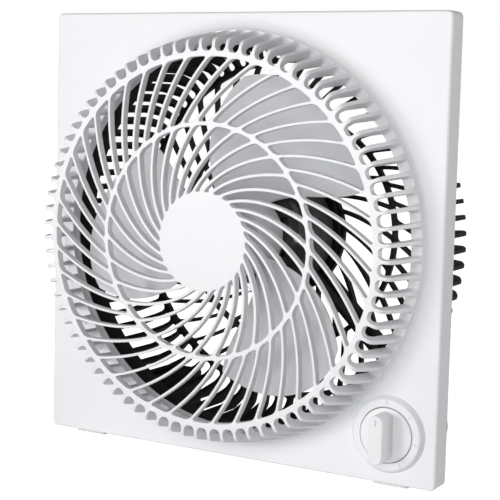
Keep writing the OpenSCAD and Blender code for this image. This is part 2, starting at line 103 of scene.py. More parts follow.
# ---------- arithmetic inside node trees ----------
# how far a rounded corner's middle comes in, as a share of its radius (1 - cos 45)
CORNER_PULL = 0.293
# points across each side of a bar's square section
SECTION = 4
# points along a rib, a fin and a blade
RIB_STEPS, FIN_STEPS, BLADE_STEPS = 30, 44, 40


class Num:
    """A number in a node tree that takes ordinary arithmetic."""

    def __init__(self, tree, socket):
        self.tree, self.socket = tree, socket

    def __add__(self, other):
        return calc(self.tree, "ADD", self, other)

    def __sub__(self, other):
        return calc(self.tree, "SUBTRACT", self, other)

    def __rsub__(self, other):
        return calc(self.tree, "SUBTRACT", other, self)

    def __mul__(self, other):
        return calc(self.tree, "MULTIPLY", self, other)

    def __truediv__(self, other):
        return calc(self.tree, "DIVIDE", self, other)

    __radd__ = __add__
    __rmul__ = __mul__


def feed(tree, value, socket):
    """Sets a socket to a plain value or links it."""
    if isinstance(value, Num):
        tree.links.new(value.socket, socket)
    elif isinstance(value, bpy.types.NodeSocket):
        tree.links.new(value, socket)
    else:
        socket.default_value = value


def calc(tree, kind, *values):
    """One sum or function in a node tree."""
    node = tree.nodes.new("ShaderNodeMath")
    node.operation = kind
    for socket, value in zip(node.inputs, values):
        feed(tree, value, socket)
    return Num(tree, node.outputs[0])


class Recipe:
    """A Geometry Nodes tree with named inputs."""

    def __init__(self, name, numbers, objects=()):
        self.tree = bpy.data.node_groups.new(name, "GeometryNodeTree")
        sockets = [("Geometry", "Geometry")]
        sockets += [(n, "Float") for n in numbers]
        sockets += [(n, "Object") for n in objects]
        sockets += [("Finish", "Material")]
        for label, kind in sockets:
            self.tree.interface.new_socket(
                label, in_out="INPUT", socket_type="NodeSocket" + kind
            )
        self.tree.interface.new_socket(
            "Geometry", in_out="OUTPUT", socket_type="NodeSocketGeometry"
        )
        self.group = self.tree.nodes.new("NodeGroupInput")
        self.out = self.tree.nodes.new("NodeGroupOutput")

    def given(self, name):
        return Num(self.tree, self.group.outputs[name])

    def calc(self, kind, *values):
        return calc(self.tree, kind, *values)

    def add(self, kind, inputs=None, **settings):
        node = self.tree.nodes.new(kind)
        for key, value in settings.items():
            setattr(node, key, value)
        for key, value in (inputs or {}).items():
            feed(self.tree, value, node.inputs[key])
        return node

    def xyz(self, socket):
        split = self.add("ShaderNodeSeparateXYZ", {0: socket})
        return [Num(self.tree, s) for s in split.outputs]

    def point(self, x, y, z):
        return self.add("ShaderNodeCombineXYZ", {0: x, 1: y, 2: z}).outputs[0]

    def brick(self, along, across, deep):
        """A divided unit brick and where each of its points lies."""
        cube = self.add(
            "GeometryNodeMeshCube",
            {"Vertices X": along, "Vertices Y": across, "Vertices Z": deep},
        )
        place = self.add("GeometryNodeInputPosition").outputs[0]
        return cube.outputs["Mesh"], self.xyz(place)

    def soft_section(self, y, z, half_wide, half_deep, edge):
        """Bends a square section's points to flat sides with rounded corners."""
        inside = 0.4
        far_y = self.calc("GREATER_THAN", self.calc("ABSOLUTE", y), inside)
        far_z = self.calc("GREATER_THAN", self.calc("ABSOLUTE", z), inside)
        pull = far_y * far_z * edge * CORNER_PULL
        wide = half_wide - edge * (1 - far_y) - pull
        deep = half_deep - edge * (1 - far_z) - pull
        return wide * self.calc("SIGN", y), deep * self.calc("SIGN", z)

    def place(self, mesh, point):
        """Moves each point of a mesh to its place."""
        moved = self.add("GeometryNodeSetPosition", {"Geometry": mesh, "Position": point})
        return moved.outputs[0]

    def round_the_axis(self, mesh, count, phase):
        """Copies a piece round the Z axis."""
        whole = self.add("FunctionNodeFloatToInt", {0: count}).outputs[0]
        line = self.add("GeometryNodeMeshLine", {"Count": whole, "Offset": (0, 0, 0)})
        index = Num(self.tree, self.add("GeometryNodeInputIndex").outputs[0])
        turn = self.point(0.0, 0.0, phase + index * math.tau / count)
        rotation = self.add("FunctionNodeEulerToRotation", {0: turn}).outputs[0]
        return self.add(
            "GeometryNodeInstanceOnPoints",
            {"Points": line.outputs[0], "Instance": mesh, "Rotation": rotation},
        ).outputs[0]

    def finish(self, mesh):
        """Ends the tree with real, smooth faces and their finish."""
        real = self.add("GeometryNodeRealizeInstances", {"Geometry": mesh}).outputs[0]
        smooth = self.add("GeometryNodeSetShadeSmooth", {"Geometry": real}).outputs[0]
        done = self.add(
            "GeometryNodeSetMaterial",
            {"Geometry": smooth, "Material": self.group.outputs["Finish"]},
        ).outputs[0]
        self.tree.links.new(done, self.out.inputs[0])
        return self


def ending(recipe, near, fillet):
    """How much a rounded inside corner adds at a distance from the end."""
    near = recipe.calc("MINIMUM", recipe.calc("MAXIMUM", near, 0.0), fillet)
    short = fillet - near
    return fillet - recipe.calc("SQRT", fillet * fillet - short * short)


def rib_recipe():
    """A row of swept ribs between two rings, with rounded inside corners."""
    r = Recipe("swept rib row", [
        "Count", "Phase", "Inner Radius", "Outer Radius", "Reference Radius", "Sweep",
        "Width", "Depth", "Inner Height", "Outer Height", "Fillet", "Edge",
    ])
    mesh, (x, y, z) = r.brick(RIB_STEPS, SECTION, SECTION)
    inner, outer, sweep = (r.given(n) for n in ("Inner Radius", "Outer Radius", "Sweep"))
    bury = 0.8
    u = x + 0.5
    u = u * u * (3 - 2 * u)
    radius = inner - bury + (outer - inner + 2 * bury) * u
    near = r.calc("MINIMUM", radius - inner, outer - radius)
    half = r.given("Width") / 2 + ending(r, near, r.given("Fillet"))
    wide, deep = r.soft_section(y, z, half, r.given("Depth") / 2, r.given("Edge"))
    slant = r.calc("SQRT", sweep * sweep + 1)
    lean = r.calc("LOGARITHM", radius / r.given("Reference Radius"), math.e)
    angle = wide * slant / radius - sweep * lean
    share = (radius - inner) / (outer - inner)
    low, high = r.given("Inner Height"), r.given("Outer Height")
    height = low + (high - low) * share - r.given("Depth") / 2 + deep
    shaped = r.place(mesh, r.point(
        radius * r.calc("COSINE", angle), radius * r.calc("SINE", angle), height
    ))
    return r.finish(r.round_the_axis(shaped, r.given("Count"), r.given("Phase")))


def fin_recipe():
    """Fins that follow an outer and an inner line, with round-ended slots between."""
    r = Recipe(
        "side fin row",
        ["Count", "Phase", "Slot Radius", "Slot Width", "Edge", "Foot Height", "Foot Fillet"],
        ["Outer Line", "Inner Line"],
    )
    mesh, (x, y, z) = r.brick(FIN_STEPS, SECTION, SECTION)
    u = x + 0.5
    sides = []
    for name in ("Outer Line", "Inner Line"):
        line = r.add("GeometryNodeObjectInfo", {"Object": r.group.outputs[name]})
        sample = r.add(
            "GeometryNodeSampleCurve",
            {"Curves": line.outputs["Geometry"], "Factor": u},
            mode="FACTOR",
        )
        sample.use_all_curves = True
        sides.append(r.xyz(sample.outputs["Position"]))
    (r0, z0, _), (r1, z1, _) = sides
    run, rise = r1 - r0, z1 - z0
    deep = r.calc("SQRT", run * run + rise * rise)
    mid_r, mid_z = (r0 + r1) * 0.5, (z0 + z1) * 0.5
    slot = r.given("Slot Width") / 2
    gap = slot - ending(r, mid_r - r.given("Slot Radius"), slot)
    step = calc(r.tree, "DIVIDE", math.pi, r.given("Count"))
    pitch = r.calc("TANGENT", step)
    foot = ending(r, mid_z - r.given("Foot Height"), r.given("Foot Fillet"))
    half = mid_r * pitch - gap + foot
    wide, across = r.soft_section(y, z, half, deep / 2, r.given("Edge"))
    radius = mid_r - run * across / deep
    height = mid_z - rise * across / deep
    angle = wide / radius
    shaped = r.place(mesh, r.point(
        radius * r.calc("COSINE", angle), radius * r.calc("SINE", angle), height
    ))
    return r.finish(r.round_the_axis(shaped, r.given("Count"), r.given("Phase")))


def blade_recipe():
    """Swept, pitched blades round a hub; the leading edge lies nearest the motor."""
    r = Recipe("blade set", [
        "Count", "Phase", "Hub Radius", "Tip Radius", "Pitch Height", "Thickness",
    ])
    mesh, (x, y, z) = r.brick(BLADE_STEPS, BLADE_STEPS, 2)
    hub = r.given("Hub Radius")
    bury = 1.2
    # points lie closer together towards the tip
    crowd = 0.35
    u, v = x + 0.5, y + 0.5
    u = u * (2 - u) * crowd + u * (1 - crowd)
    # the tip is cut back at both ends, most of all at the edge nearest the motor
    tip = (
        r.given("Tip Radius")
        - 18 * r.calc("POWER", 1 - v, 2.2)
        - 7 * r.calc("POWER", v, 10.0)
    )
    radius = hub - bury + u * (tip - hub + bury)
    # the two edges' angles in degrees: one curls in near the hub, one sweeps at the tip
    back_angle, back_curl, curl_ends = 21.5, 0.0075, 92
    reach = r.calc("MAXIMUM", curl_ends - radius, 0.0)
    back = back_angle + back_curl * r.calc("POWER", reach, 2.0)
    front_angle, front_sweep, sweep_starts, sweep_run = 103, 23, 50, 64
    rise = r.calc("MAXIMUM", radius - sweep_starts, 0.0) / sweep_run
    front = front_angle - front_sweep * r.calc("POWER", rise, 1.5)
    angle = (back + v * (front - back)) * (math.pi / 180)
    # thinner towards the tip, with rounded edges
    tip_thinning, edge_run, edge_least = 0.35, 22, 0.3
    thick = r.given("Thickness") * (1 - tip_thinning * u)
    side = r.calc("MINIMUM", v, 1 - v)
    edge = r.calc("MINIMUM", side, 1 - u) * edge_run + edge_least
    edge = r.calc("MINIMUM", edge, 1.0)
    # a slight camber: the pitch steepens towards the front edge
    level = r.given("Pitch Height") * (0.9 * v + 0.1 * v * v - 0.5)
    height = level + z * thick * r.calc("SQRT", edge)
    shaped = r.place(mesh, r.point(
        radius * r.calc("COSINE", angle), radius * r.calc("SINE", angle), height
    ))
    return r.finish(r.round_the_axis(shaped, r.given("Count"), r.given("Phase")))


def array_recipe():
    """Copies of one piece round an axis, such as screws and bosses."""
    r = Recipe("pieces round an axis", ["Count", "Phase", "Radius"], ["Piece"])
    piece = r.add("GeometryNodeObjectInfo", {"Object": r.group.outputs["Piece"]})
    offset = r.point(r.given("Radius"), 0.0, 0.0)
    moved = r.add(
        "GeometryNodeTransform",
        {"Geometry": piece.outputs["Geometry"], "Translation": offset},
    ).outputs[0]
    return r.finish(r.round_the_axis(moved, r.given("Count"), r.given("Phase")))


# ---------- mesh helpers ----------
def new_object(name, mesh):
    """An object for a mesh or curve, in the scene."""
    obj = bpy.data.objects.new(name, mesh)
    bpy.context.scene.collection.objects.link(obj)
    return obj


def from_bmesh(name, bm):
    """A smooth object from a mesh that was built in code."""
    mesh = bpy.data.meshes.new(name)
    bm.to_mesh(mesh)
    bm.free()
    for face in mesh.polygons:
        face.use_smooth = True
    return new_object(name, mesh)


def as_mesh(obj):
    """The object's finished shape as a plain mesh."""
    bpy.context.view_layer.update()
    graph = bpy.context.evaluated_depsgraph_get()
    return bpy.data.meshes.new_from_object(obj.evaluated_get(graph), depsgraph=graph)


def grow(name, recipe, finish, **values):
    """Runs a recipe and keeps its result as a plain mesh."""
    obj = new_object(name, bpy.data.meshes.new(name))
    modifier = obj.modifiers.new("recipe", "NODES")
    modifier.node_group = recipe.tree
    given = {k.replace("_", " ").title(): v for k, v in values.items()}
    given["Finish"] = finish
    for item in recipe.tree.interface.items_tree:
        if item.in_out == "INPUT" and item.name in given:
            value = given[item.name]
            is_number = isinstance(value, (int, float))
            modifier[item.identifier] = float(value) if is_number else value
    mesh = as_mesh(obj)
    obj.modifiers.clear()
    obj.data = mesh
    return obj


def outline(points, steps=4):
    """A line through (r, z, radius) corners, with the corners rounded."""
    most = 0.49
    line = []
    count = len(points)
    for i, (x, y, radius) in enumerate(points):
        here = Vector((x, y))
        if radius <= 0:
            line.append(here)
            continue
        before = Vector(points[i - 1][:2]) - here
        after = Vector(points[(i + 1) % count][:2]) - here
        half = before.angle(after) / 2
        reach = min(radius / math.tan(half), before.length * most, after.length * most)
        start = here + before.normalized() * reach
        end = here + after.normalized() * reach
        for s in range(steps + 1):
            t = s / steps
            a = start.lerp(here, t)
            b = here.lerp(end, t)
            line.append(a.lerp(b, t))
    return line


def lathe(name, corners, segments=128, steps=4):
    """A ring or disc turned round Z from (r, z, corner radius) points."""
    line = outline(corners, steps=steps)
    bm = bmesh.new()
    rows = []
    for k in range(segments):
        a = math.tau * k / segments
        rows.append([bm.verts.new((p.x * math.cos(a), p.x * math.sin(a), p.y)) for p in line])
    for k in range(segments):
        a, b = rows[k], rows[(k + 1) % segments]
        for i in range(len(line)):
            j = (i + 1) % len(line)
            bm.faces.new((a[i], b[i], b[j], a[j]))
    bmesh.ops.remove_doubles(bm, verts=bm.verts, dist=1e-5)
    loose = [e for e in bm.edges if not e.link_faces]
    bmesh.ops.delete(bm, geom=loose, context="EDGES")
    bmesh.ops.recalc_face_normals(bm, faces=bm.faces)
    return from_bmesh(name, bm)


def prism(name, points, low, high, bevel=0.0, segments=3):
    """A flat outline raised from one height to another, with bevelled edges."""
    clear_edge = 0.5
    bm = bmesh.new()
    base = bm.faces.new([bm.verts.new((x, y, low)) for x, y in points])
    lifted = bmesh.ops.extrude_face_region(bm, geom=[base])
    verts = [v for v in lifted["geom"] if isinstance(v, bmesh.types.BMVert)]
    bmesh.ops.translate(bm, verts=verts, vec=(0, 0, high - low))
    bmesh.ops.recalc_face_normals(bm, faces=bm.faces)
    if bevel:
        sharp = [e for e in bm.edges if e.calc_face_angle(0) > clear_edge]
        bmesh.ops.bevel(
            bm, geom=sharp, offset=bevel, segments=segments, affect="EDGES", profile=0.5,
            clamp_overlap=True,
        )
    return from_bmesh(name, bm)


def block(name, low, high, bevel):
    """A bevelled block between two corners."""
    (x0, y0, z0), (x1, y1, z1) = low, high
    return prism(name, [(x0, y0), (x1, y0), (x1, y1), (x0, y1)], z0, z1, bevel)


def join(name, pieces):
    """Several meshes as one."""
    bm = bmesh.new()
    for piece in pieces:
        bm.from_mesh(piece.data)
        bpy.data.objects.remove(piece)
    return from_bmesh(name, bm)


def shift(obj, x=0.0, y=0.0, z=0.0, turn=0.0):
    """Turns a piece about Z by degrees and then moves it."""
    turned = Matrix.Rotation(math.radians(turn), 4, "Z")
    obj.data.transform(Matrix.Translation((x, y, z)) @ turned)
    return obj


def copy_of(obj, name):
    return new_object(name, obj.data.copy())


def crisp(obj, angle=40):
    """Flat faces stay flat where they meet at a clear edge."""
    obj.data.set_sharp_from_angle(angle=math.radians(angle))
    return obj


def settle(obj, view, body, slot, finish, *nodes):
    """Puts a piece in its place, with its finish, on its body."""
    obj.data.transform(view)
    even = obj.modifiers.new("even", "WEIGHTED_NORMAL")
    even.keep_sharp = True
    obj.data = as_mesh(obj)
    obj.modifiers.clear()
    obj.data.materials.clear()
    obj.data.materials.append(finish)
    for face in obj.data.polygons:
        face.material_index = 0
    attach(obj, body)
    if nodes:
        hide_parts(*nodes)
    return obj


def guide(name, points):
    """A line that a recipe follows; it is removed at the end."""
    curve = bpy.data.curves.new(name, "CURVE")
    curve.dimensions = "3D"
    spline = curve.splines.new("POLY")
    spline.points.add(len(points) - 1)
    for point, p in zip(spline.points, points):
        point.co = (p.x, p.y, 0, 1)
    return new_object(name, curve)


# ---------- finishes ----------
# sizes of the patterns, as repeats in a metre
TONE_SCALE, GLOSS_SCALE, WEAR_SCALE = 14.0, 60.0, 160.0
# how much the roughness wanders, and how deep the grain is in metres
GLOSS_SPREAD, GRAIN_DEPTH = 0.08, 0.0002
# how sharp an edge has to be before it wears, and how fast the wear sets in
WEAR_START, WEAR_GAIN = 0.515, 14.0
# the share of the fine grain in the relief; the rest is a grain of a third of its scale
FINE_SHARE, COARSE_SHARE, COARSE_SCALE = 0.7, 0.3, 0.3


def finish(name, colour, rough, metal=0.0, grain=900.0, bump=0.04, tone=0.03,
           stretch=(1, 1, 1), wear=None, shine=0.5):
    """A moulded or metal surface: soft tone, fine grain, uneven gloss and worn edges."""
    mat = bpy.data.materials.new(name)
    mat.use_nodes = True
    tree = mat.node_tree
    shader = tree.nodes["Principled BSDF"]
    shader.inputs["Metallic"].default_value = metal
    shader.inputs["Specular IOR Level"].default_value = shine
    place = tree.nodes.new("ShaderNodeTexCoord").outputs["Object"]
    mapping = tree.nodes.new("ShaderNodeMapping")
    mapping.inputs["Scale"].default_value = stretch
    tree.links.new(place, mapping.inputs["Vector"])

    def noise(scale, detail):
        node = tree.nodes.new("ShaderNodeTexNoise")
        node.inputs["Scale"].default_value = scale
        node.inputs["Detail"].default_value = detail
        tree.links.new(mapping.outputs[0], node.inputs["Vector"])
        return Num(tree, node.outputs[0])

    def blend(low, high, factor):
        node = tree.nodes.new("ShaderNodeMix")
        node.data_type = "RGBA"
        feed(tree, factor, node.inputs[0])
        feed(tree, low, node.inputs[6])
        feed(tree, high, node.inputs[7])
        return node.outputs[2]

    def shade(k):
        return tuple(min(1.0, c * k) for c in colour) + (1.0,)

    soft = noise(TONE_SCALE, 3.0)
    fine = noise(grain, 2.0)
    tint = blend(shade(1 - tone), shade(1 + tone), soft)
    if wear:
        edge = tree.nodes.new("ShaderNodeNewGeometry").outputs["Pointiness"]
        lift = calc(tree, "SUBTRACT", edge, WEAR_START)
        lift = calc(tree, "MULTIPLY", lift, WEAR_GAIN)
        lift = calc(tree, "MULTIPLY", lift, noise(WEAR_SCALE, 4.0))
        clamp = tree.nodes.new("ShaderNodeClamp")
        feed(tree, lift, clamp.inputs[0])
        tint = blend(tint, tuple(wear) + (1.0,), clamp.outputs[0])
    tree.links.new(tint, shader.inputs["Base Color"])
    uneven = noise(GLOSS_SCALE, 4.0)
    gloss = rough - GLOSS_SPREAD / 2 + GLOSS_SPREAD * uneven
    tree.links.new(gloss.socket, shader.inputs["Roughness"])
    relief = tree.nodes.new("ShaderNodeBump")
    relief.inputs["Strength"].default_value = bump
    relief.inputs["Distance"].default_value = GRAIN_DEPTH
    height = fine * FINE_SHARE + noise(grain * COARSE_SCALE, 2.0) * COARSE_SHARE
    feed(tree, height, relief.inputs["Height"])
    tree.links.new(relief.outputs[0], shader.inputs["Normal"])
    return mat


cover_white = finish("moulded white cover", (0.86, 0.865, 0.88), 0.42, bump=0.05, tone=0.012)
knob_white = finish("smooth white knob", (0.87, 0.875, 0.885), 0.34, bump=0.03, tone=0.01)
mark_grey = finish("pressed dial marks", (0.62, 0.63, 0.65), 0.5, bump=0.03)
blade_grey = finish("moulded grey blade", (0.7, 0.705, 0.72), 0.38, bump=0.05, tone=0.02)
nut_white = finish("moulded white nut", (0.8, 0.8, 0.81), 0.4, bump=0.04)
guard_black = finish("grained black guard", (0.007, 0.007, 0.008), 0.5, grain=700,
                     bump=0.16, tone=0.12, wear=(0.04, 0.04, 0.042), shine=0.22)
cup_black = finish("grained black cup", (0.02, 0.02, 0.022), 0.52, grain=620, bump=0.2,
                   tone=0.12, wear=(0.07, 0.07, 0.072))
switch_black = finish("phenolic switch body", (0.03, 0.028, 0.027), 0.6, bump=0.12)
pad_pale = finish("pale rubber pad", (0.74, 0.74, 0.74), 0.6, grain=500, bump=0.2, tone=0.05)
pad_rubber = finish("rubber pad", (0.045, 0.045, 0.047), 0.8, grain=500, bump=0.35, tone=0.15)
gland_rubber = finish("rubber gland", (0.03, 0.03, 0.031), 0.72, grain=540, bump=0.3, tone=0.15)
sleeve_black = finish("woven lead sleeve", (0.03, 0.03, 0.032), 0.7, grain=400, bump=0.4)
shaft_steel = finish("ground shaft steel", (0.62, 0.62, 0.63), 0.24, 1.0, 600, 0.05,
                     stretch=(1, 9, 1), wear=(0.75, 0.75, 0.76))
core_steel = finish("stacked lamination steel", (0.26, 0.26, 0.28), 0.46, 1.0, 120, 0.5,
                    tone=0.2, stretch=(1, 22, 1), wear=(0.5, 0.5, 0.52))
cap_zinc = finish("pressed zinc steel", (0.6, 0.61, 0.63), 0.36, 1.0, 260, 0.12, tone=0.1,
                  wear=(0.75, 0.76, 0.78))
black_lacquer = finish("black lacquer", (0.012, 0.012, 0.013), 0.42, bump=0.12, tone=0.1,
                       wear=(0.1, 0.1, 0.1), shine=0.35)
cast_metal = finish("cast aluminium", (0.66, 0.67, 0.68), 0.5, 1.0, 320, 0.3, tone=0.08)
screw_zinc = finish("zinc screw", (0.48, 0.48, 0.5), 0.36, 1.0, 500, 0.1, tone=0.12,
                    wear=(0.7, 0.7, 0.72))
wire_copper = finish("enamelled copper wire", (0.56, 0.22, 0.08), 0.32, 0.9, 90, 0.8,
                     tone=0.22, stretch=(6, 1, 6))
bush_bronze = finish("sintered bronze", (0.44, 0.3, 0.15), 0.5, 1.0, 800, 0.35, tone=0.14)
washer_nylon = finish("natural nylon", (0.78, 0.76, 0.7), 0.45, bump=0.04)
case_white = finish("capacitor case", (0.74, 0.74, 0.71), 0.5, bump=0.08)

CAD_FINISH = {
    "motor_shaft": shaft_steel, "drive_pin": shaft_steel, "rotor_core": core_steel,
    "rotor_cage": cast_metal, "shaft_washers": washer_nylon, "stator_core": black_lacquer,
    "windings": wire_copper, "motor_front_cap": black_lacquer, "motor_rear_cap": black_lacquer,
    "front_bearing": bush_bronze, "rear_bearing": bush_bronze, "motor_bolts": screw_zinc,
    "motor_nuts": screw_zinc, "motor_lead": sleeve_black, "switch_shaft": cap_zinc,
    "rotary_switch": switch_black, "switch_nut": cap_zinc, "capacitor": case_white,
    "wire_caps": washer_nylon, "cord_gland": gland_rubber, "blade_nut": nut_white,
    "front_cover": cover_white, "rear_guard": guard_black, "impeller": blade_grey,
    "knob": knob_white, "switch_cover": cup_black, "switch_cover_screws": screw_zinc,
    "cover_screws": screw_zinc, "front_feet": pad_pale, "rear_feet": pad_rubber,
}
for node, look in CAD_FINISH.items():
    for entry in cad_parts[node].material_slots:
        entry.material = look

rib_row, fin_row, blade_set, pieces_round = (
    rib_recipe(), fin_recipe(), blade_recipe(), array_recipe()
)


# ---------- front cover ----------
def square_line(half, radius):
    """A rounded square with the same number of points at any size."""
    per_side, per_corner = 24, 7
    line = []
    for k in range(4):
        turn = Matrix.Rotation(math.radians(90 * k), 2)
        flat = half - radius
        for i in range(per_side):
            line.append(turn @ Vector((half, -flat + 2 * flat * (i + 0.5) / per_side)))
        for i in range(per_corner):
            a = math.radians(90 * i / (per_corner - 1))
            line.append(turn @ Vector((flat + radius * math.cos(a), flat + radius * math.sin(a))))
    return line


def panel_sheet():
    """The square panel with its round opening, rolled edges and rim."""
    half = PANEL / 2
    least_corner = 0.4

    def square_row(inset, z):
        corner = max(PANEL_CORNER - inset, least_corner)
        return [(p.x, p.y, z) for p in square_line(half - inset, corner)]

    def round_row(radius, z):
        return [(*(p.normalized() * radius), z) for p in square_line(half, PANEL_CORNER)]

    # from the opening's back edge over the face and the rim, and back inside the rim
    rows = [
        round_row(HOLE_R, -WALL), round_row(HOLE_R, -0.5), round_row(HOLE_R + 0.15, -0.15),
        round_row(HOLE_R + 0.5, 0), round_row(FOOT_R + 8, 0), square_row(1.6, 0),
        square_row(0.8, -0.18), square_row(0.25, -0.7), square_row(0, -1.6),
        square_row(0, -RIM + 0.5), square_row(0.5, -RIM), square_row(WALL - 0.4, -RIM),
        square_row(WALL, -RIM + 0.4), square_row(WALL, -WALL),
    ]
    bm = bmesh.new()
    loops = [[bm.verts.new(p) for p in row] for row in rows]
    count = len(loops[0])
    for a, b in zip(loops, loops[1:] + loops[:1]):
        for i in range(count):
            j = (i + 1) % count
            bm.faces.new((a[i], a[j], b[j], b[i]))
    bmesh.ops.recalc_face_normals(bm, faces=bm.faces)
    return from_bmesh("panel sheet", bm)


def guard_lines(outer, inner):
    """The two lines, outside and inside, that a row of fins follows."""
    return guide("outer line", outline(outer)), guide("inner line", outline(inner))


disc = lathe("disc", [
    (0, DISC_H, 0), (DISC_R + 0.4, DISC_H, 1.0), (DISC_R + 0.4, DISC_H - RIB_DEEP, 0.6),
    (DISC_R - 2, DISC_H - RIB_DEEP, 0.5), (DISC_R - 2, DISC_H - DISC_SKIN, 0.5),
    (0, DISC_H - DISC_SKIN, 0),
])
drop = (DISC_H - RING_H) * (MID_R - DISC_R) / (RING_R - DISC_R)
mid_top = DISC_H - drop
mid_ring = lathe("mid ring", [
    (MID_R - MID_W / 2, mid_top + 0.05, 0.5), (MID_R + MID_W / 2, mid_top, 0.5),
    (MID_R + MID_W / 2, mid_top - RIB_DEEP, 0.5), (MID_R - MID_W / 2, mid_top - RIB_DEEP, 0.5),
], segments=180)
outer_ring = lathe("outer ring", [
    (RING_R, RING_H, 0.5), (SLOT_R + 0.4, RING_H, 0.3),
    (SLOT_R + 0.4, RING_H - RING_DEEP, 0.3), (RING_R, RING_H - RIB_DEEP, 0.5),
], segments=240)
ribs = dict(reference_radius=MID_R, sweep=SWEEP, depth=RIB_DEEP, edge=0.45, fillet=1.9)
inner_ribs = grow("inner ribs", rib_row, cover_white, count=INNER_RIBS, phase=RIB_PHASE,
                  inner_radius=DISC_R, outer_radius=MID_R - MID_W / 2, width=2.0,
                  inner_height=DISC_H - 0.05, outer_height=mid_top, **ribs)
outer_ribs = grow("outer ribs", rib_row, cover_white, count=OUTER_RIBS, phase=RIB_PHASE,
                  inner_radius=MID_R + MID_W / 2, outer_radius=RING_R, width=1.8,
                  inner_height=mid_top, outer_height=RING_H - 0.02, **ribs)
fin_outer, fin_inner = guard_lines(
    [(SLOT_R + 0.1, RING_H, 0), (SLOT_R + 8.4, RING_H, 6), (FOOT_R - 4.4, RING_H - 12, 3),
     (FOOT_R - 0.35, FOOT_TOP + 0.3, 0), (FOOT_R - 0.2, FOOT_TOP - 3, 0)],
    [(SLOT_R + 0.1, RING_H - RING_DEEP, 0), (SLOT_R + 3, RING_H - RING_DEEP - 0.4, 2),
     (SLOT_R + 5, RING_H - 9.5, 3), (HOLE_R + 0.4, FOOT_TOP, 2),
     (HOLE_R + 0.4, FOOT_TOP - 3, 0)],
)
fins = grow("side fins", fin_row, cover_white, count=FIN_COUNT, phase=FIN_PHASE,
            slot_radius=SLOT_R, slot_width=SLOT_W, edge=0.5,
            foot_height=FOOT_TOP, foot_fillet=1.6, outer_line=fin_outer, inner_line=fin_inner)
# the foot flares out into the panel in one even curve
foot_rise = Vector((FOOT_R - 0.15, FOOT_TOP))
foot_bend = Vector((FOOT_R + 1.0, 0.1))
foot_end = Vector((FOOT_R + FOOT_FLARE, 0.01))
FLARE_STEPS = 12
flare = []
for k in range(FLARE_STEPS + 1):
    t = k / FLARE_STEPS
    point = foot_rise.lerp(foot_bend, t).lerp(foot_bend.lerp(foot_end, t), t)
    flare.append((point.x, point.y, 0))
foot_ring = lathe("foot ring", [
    (HOLE_R + 0.25, FOOT_TOP, 0.8), *flare, (FOOT_R + FOOT_FLARE, FOOT_LOW, 0),
    (HOLE_R + 0.25, FOOT_LOW, 0),
], segments=240)
boss = lathe("boss", [
    (BOSS_HOLE, -10.2, 0.1), (3.2, -10.2, 0.4), (3.2, -1.5, 0.3), (BOSS_HOLE, -1.5, 0.1)
], segments=24, steps=2)
bosses = []
for lug in LUG_ANGLES:
    bosses.append(grow("bosses", pieces_round, cover_white, count=2,
                       phase=math.radians(lug), radius=LUG_R, piece=boss))
bpy.data.objects.remove(boss)
dial = lathe("dial ring", [
    (KNOB_R + 0.5, -0.4, 0), (DIAL_R + 0.5, -0.4, 0), (DIAL_R - 0.2, 0.9, 0.8),
    (DIAL_R - 1.9, DIAL_H, 1.6), (KNOB_R + 0.5, DIAL_H, 0.5),
], segments=120, steps=6)
dial.data.transform(FRONT_VIEW.inverted() @ KNOB_VIEW)
cover = join("front_cover_moulding", [
    panel_sheet(), disc, mid_ring, outer_ring, inner_ribs, outer_ribs, fins, foot_ring,
    *bosses, dial
])
crisp(cover, 50)
settle(cover, FRONT_VIEW, "housing", "white_cover", cover_white, "front_cover")


# ---------- dial marks ----------
NUMERALS, NUMERAL_STEP, NUMERAL_SIZE, NUMERAL_RISE = 4, 50, 4.2, 0.12


def numeral(text, angle, radius, size):
    """A generic numeral on the dial, at an angle clockwise from the top."""
    curve = bpy.data.curves.new("numeral", "FONT")
    curve.body = text
    curve.size = size
    curve.align_x, curve.align_y = "CENTER", "CENTER"
    curve.extrude = NUMERAL_RISE
    curve.resolution_u = 3
    flat = new_object("numeral", curve)
    bm = bmesh.new()
    bm.from_mesh(as_mesh(flat))
    bmesh.ops.remove_doubles(bm, verts=bm.verts, dist=1e-4)
    bpy.data.objects.remove(flat)
    obj = from_bmesh("numeral", bm)
    a = math.radians(90 - angle)
    return shift(obj, radius * math.cos(a), radius * math.sin(a), DIAL_H, -angle)


marks = join("dial_numerals", [
    numeral(str(k), NUMERAL_STEP * k, (KNOB_R + DIAL_R) / 2 - 0.2, NUMERAL_SIZE)
    for k in range(NUMERALS)
])
settle(crisp(marks), KNOB_VIEW, "housing", "white_cover", mark_grey)


# ---------- knob ----------
def stadium(half_wide, half_long, steps=14):
    """A slot-shaped outline: straight sides and round ends."""
    line = []
    for end in (0, 1):
        for i in range(steps + 1):
            a = math.radians(180 * end + 180 * i / steps)
            side = 1 if end == 0 else -1
            line.append((half_wide * math.cos(a), side * half_long + half_wide * math.sin(a)))
    return line


knob_base = lathe("knob base", [
    (0, 0.8, 0), (KNOB_R, 0.8, 0.2), (KNOB_R, 4.6, 0.9), (KNOB_R - 3, 4.7, 2), (0, 4.2, 0)
], segments=120)
grip = prism("grip", stadium(GRIP_HALF, GRIP_REACH), 3.0, GRIP_H, bevel=0.9, segments=4)
knob = join("speed_knob", [knob_base, grip])
settle(crisp(knob, 35), KNOB_VIEW, "dial", "white_knob", knob_white, "knob")
pointer = prism("knob_pointer", stadium(0.55, 1.7, 8), GRIP_H - 0.3, GRIP_H + 0.12)
shift(pointer, 0, 11.2, 0.0)
settle(crisp(pointer), KNOB_VIEW, "dial", "white_knob", mark_grey)

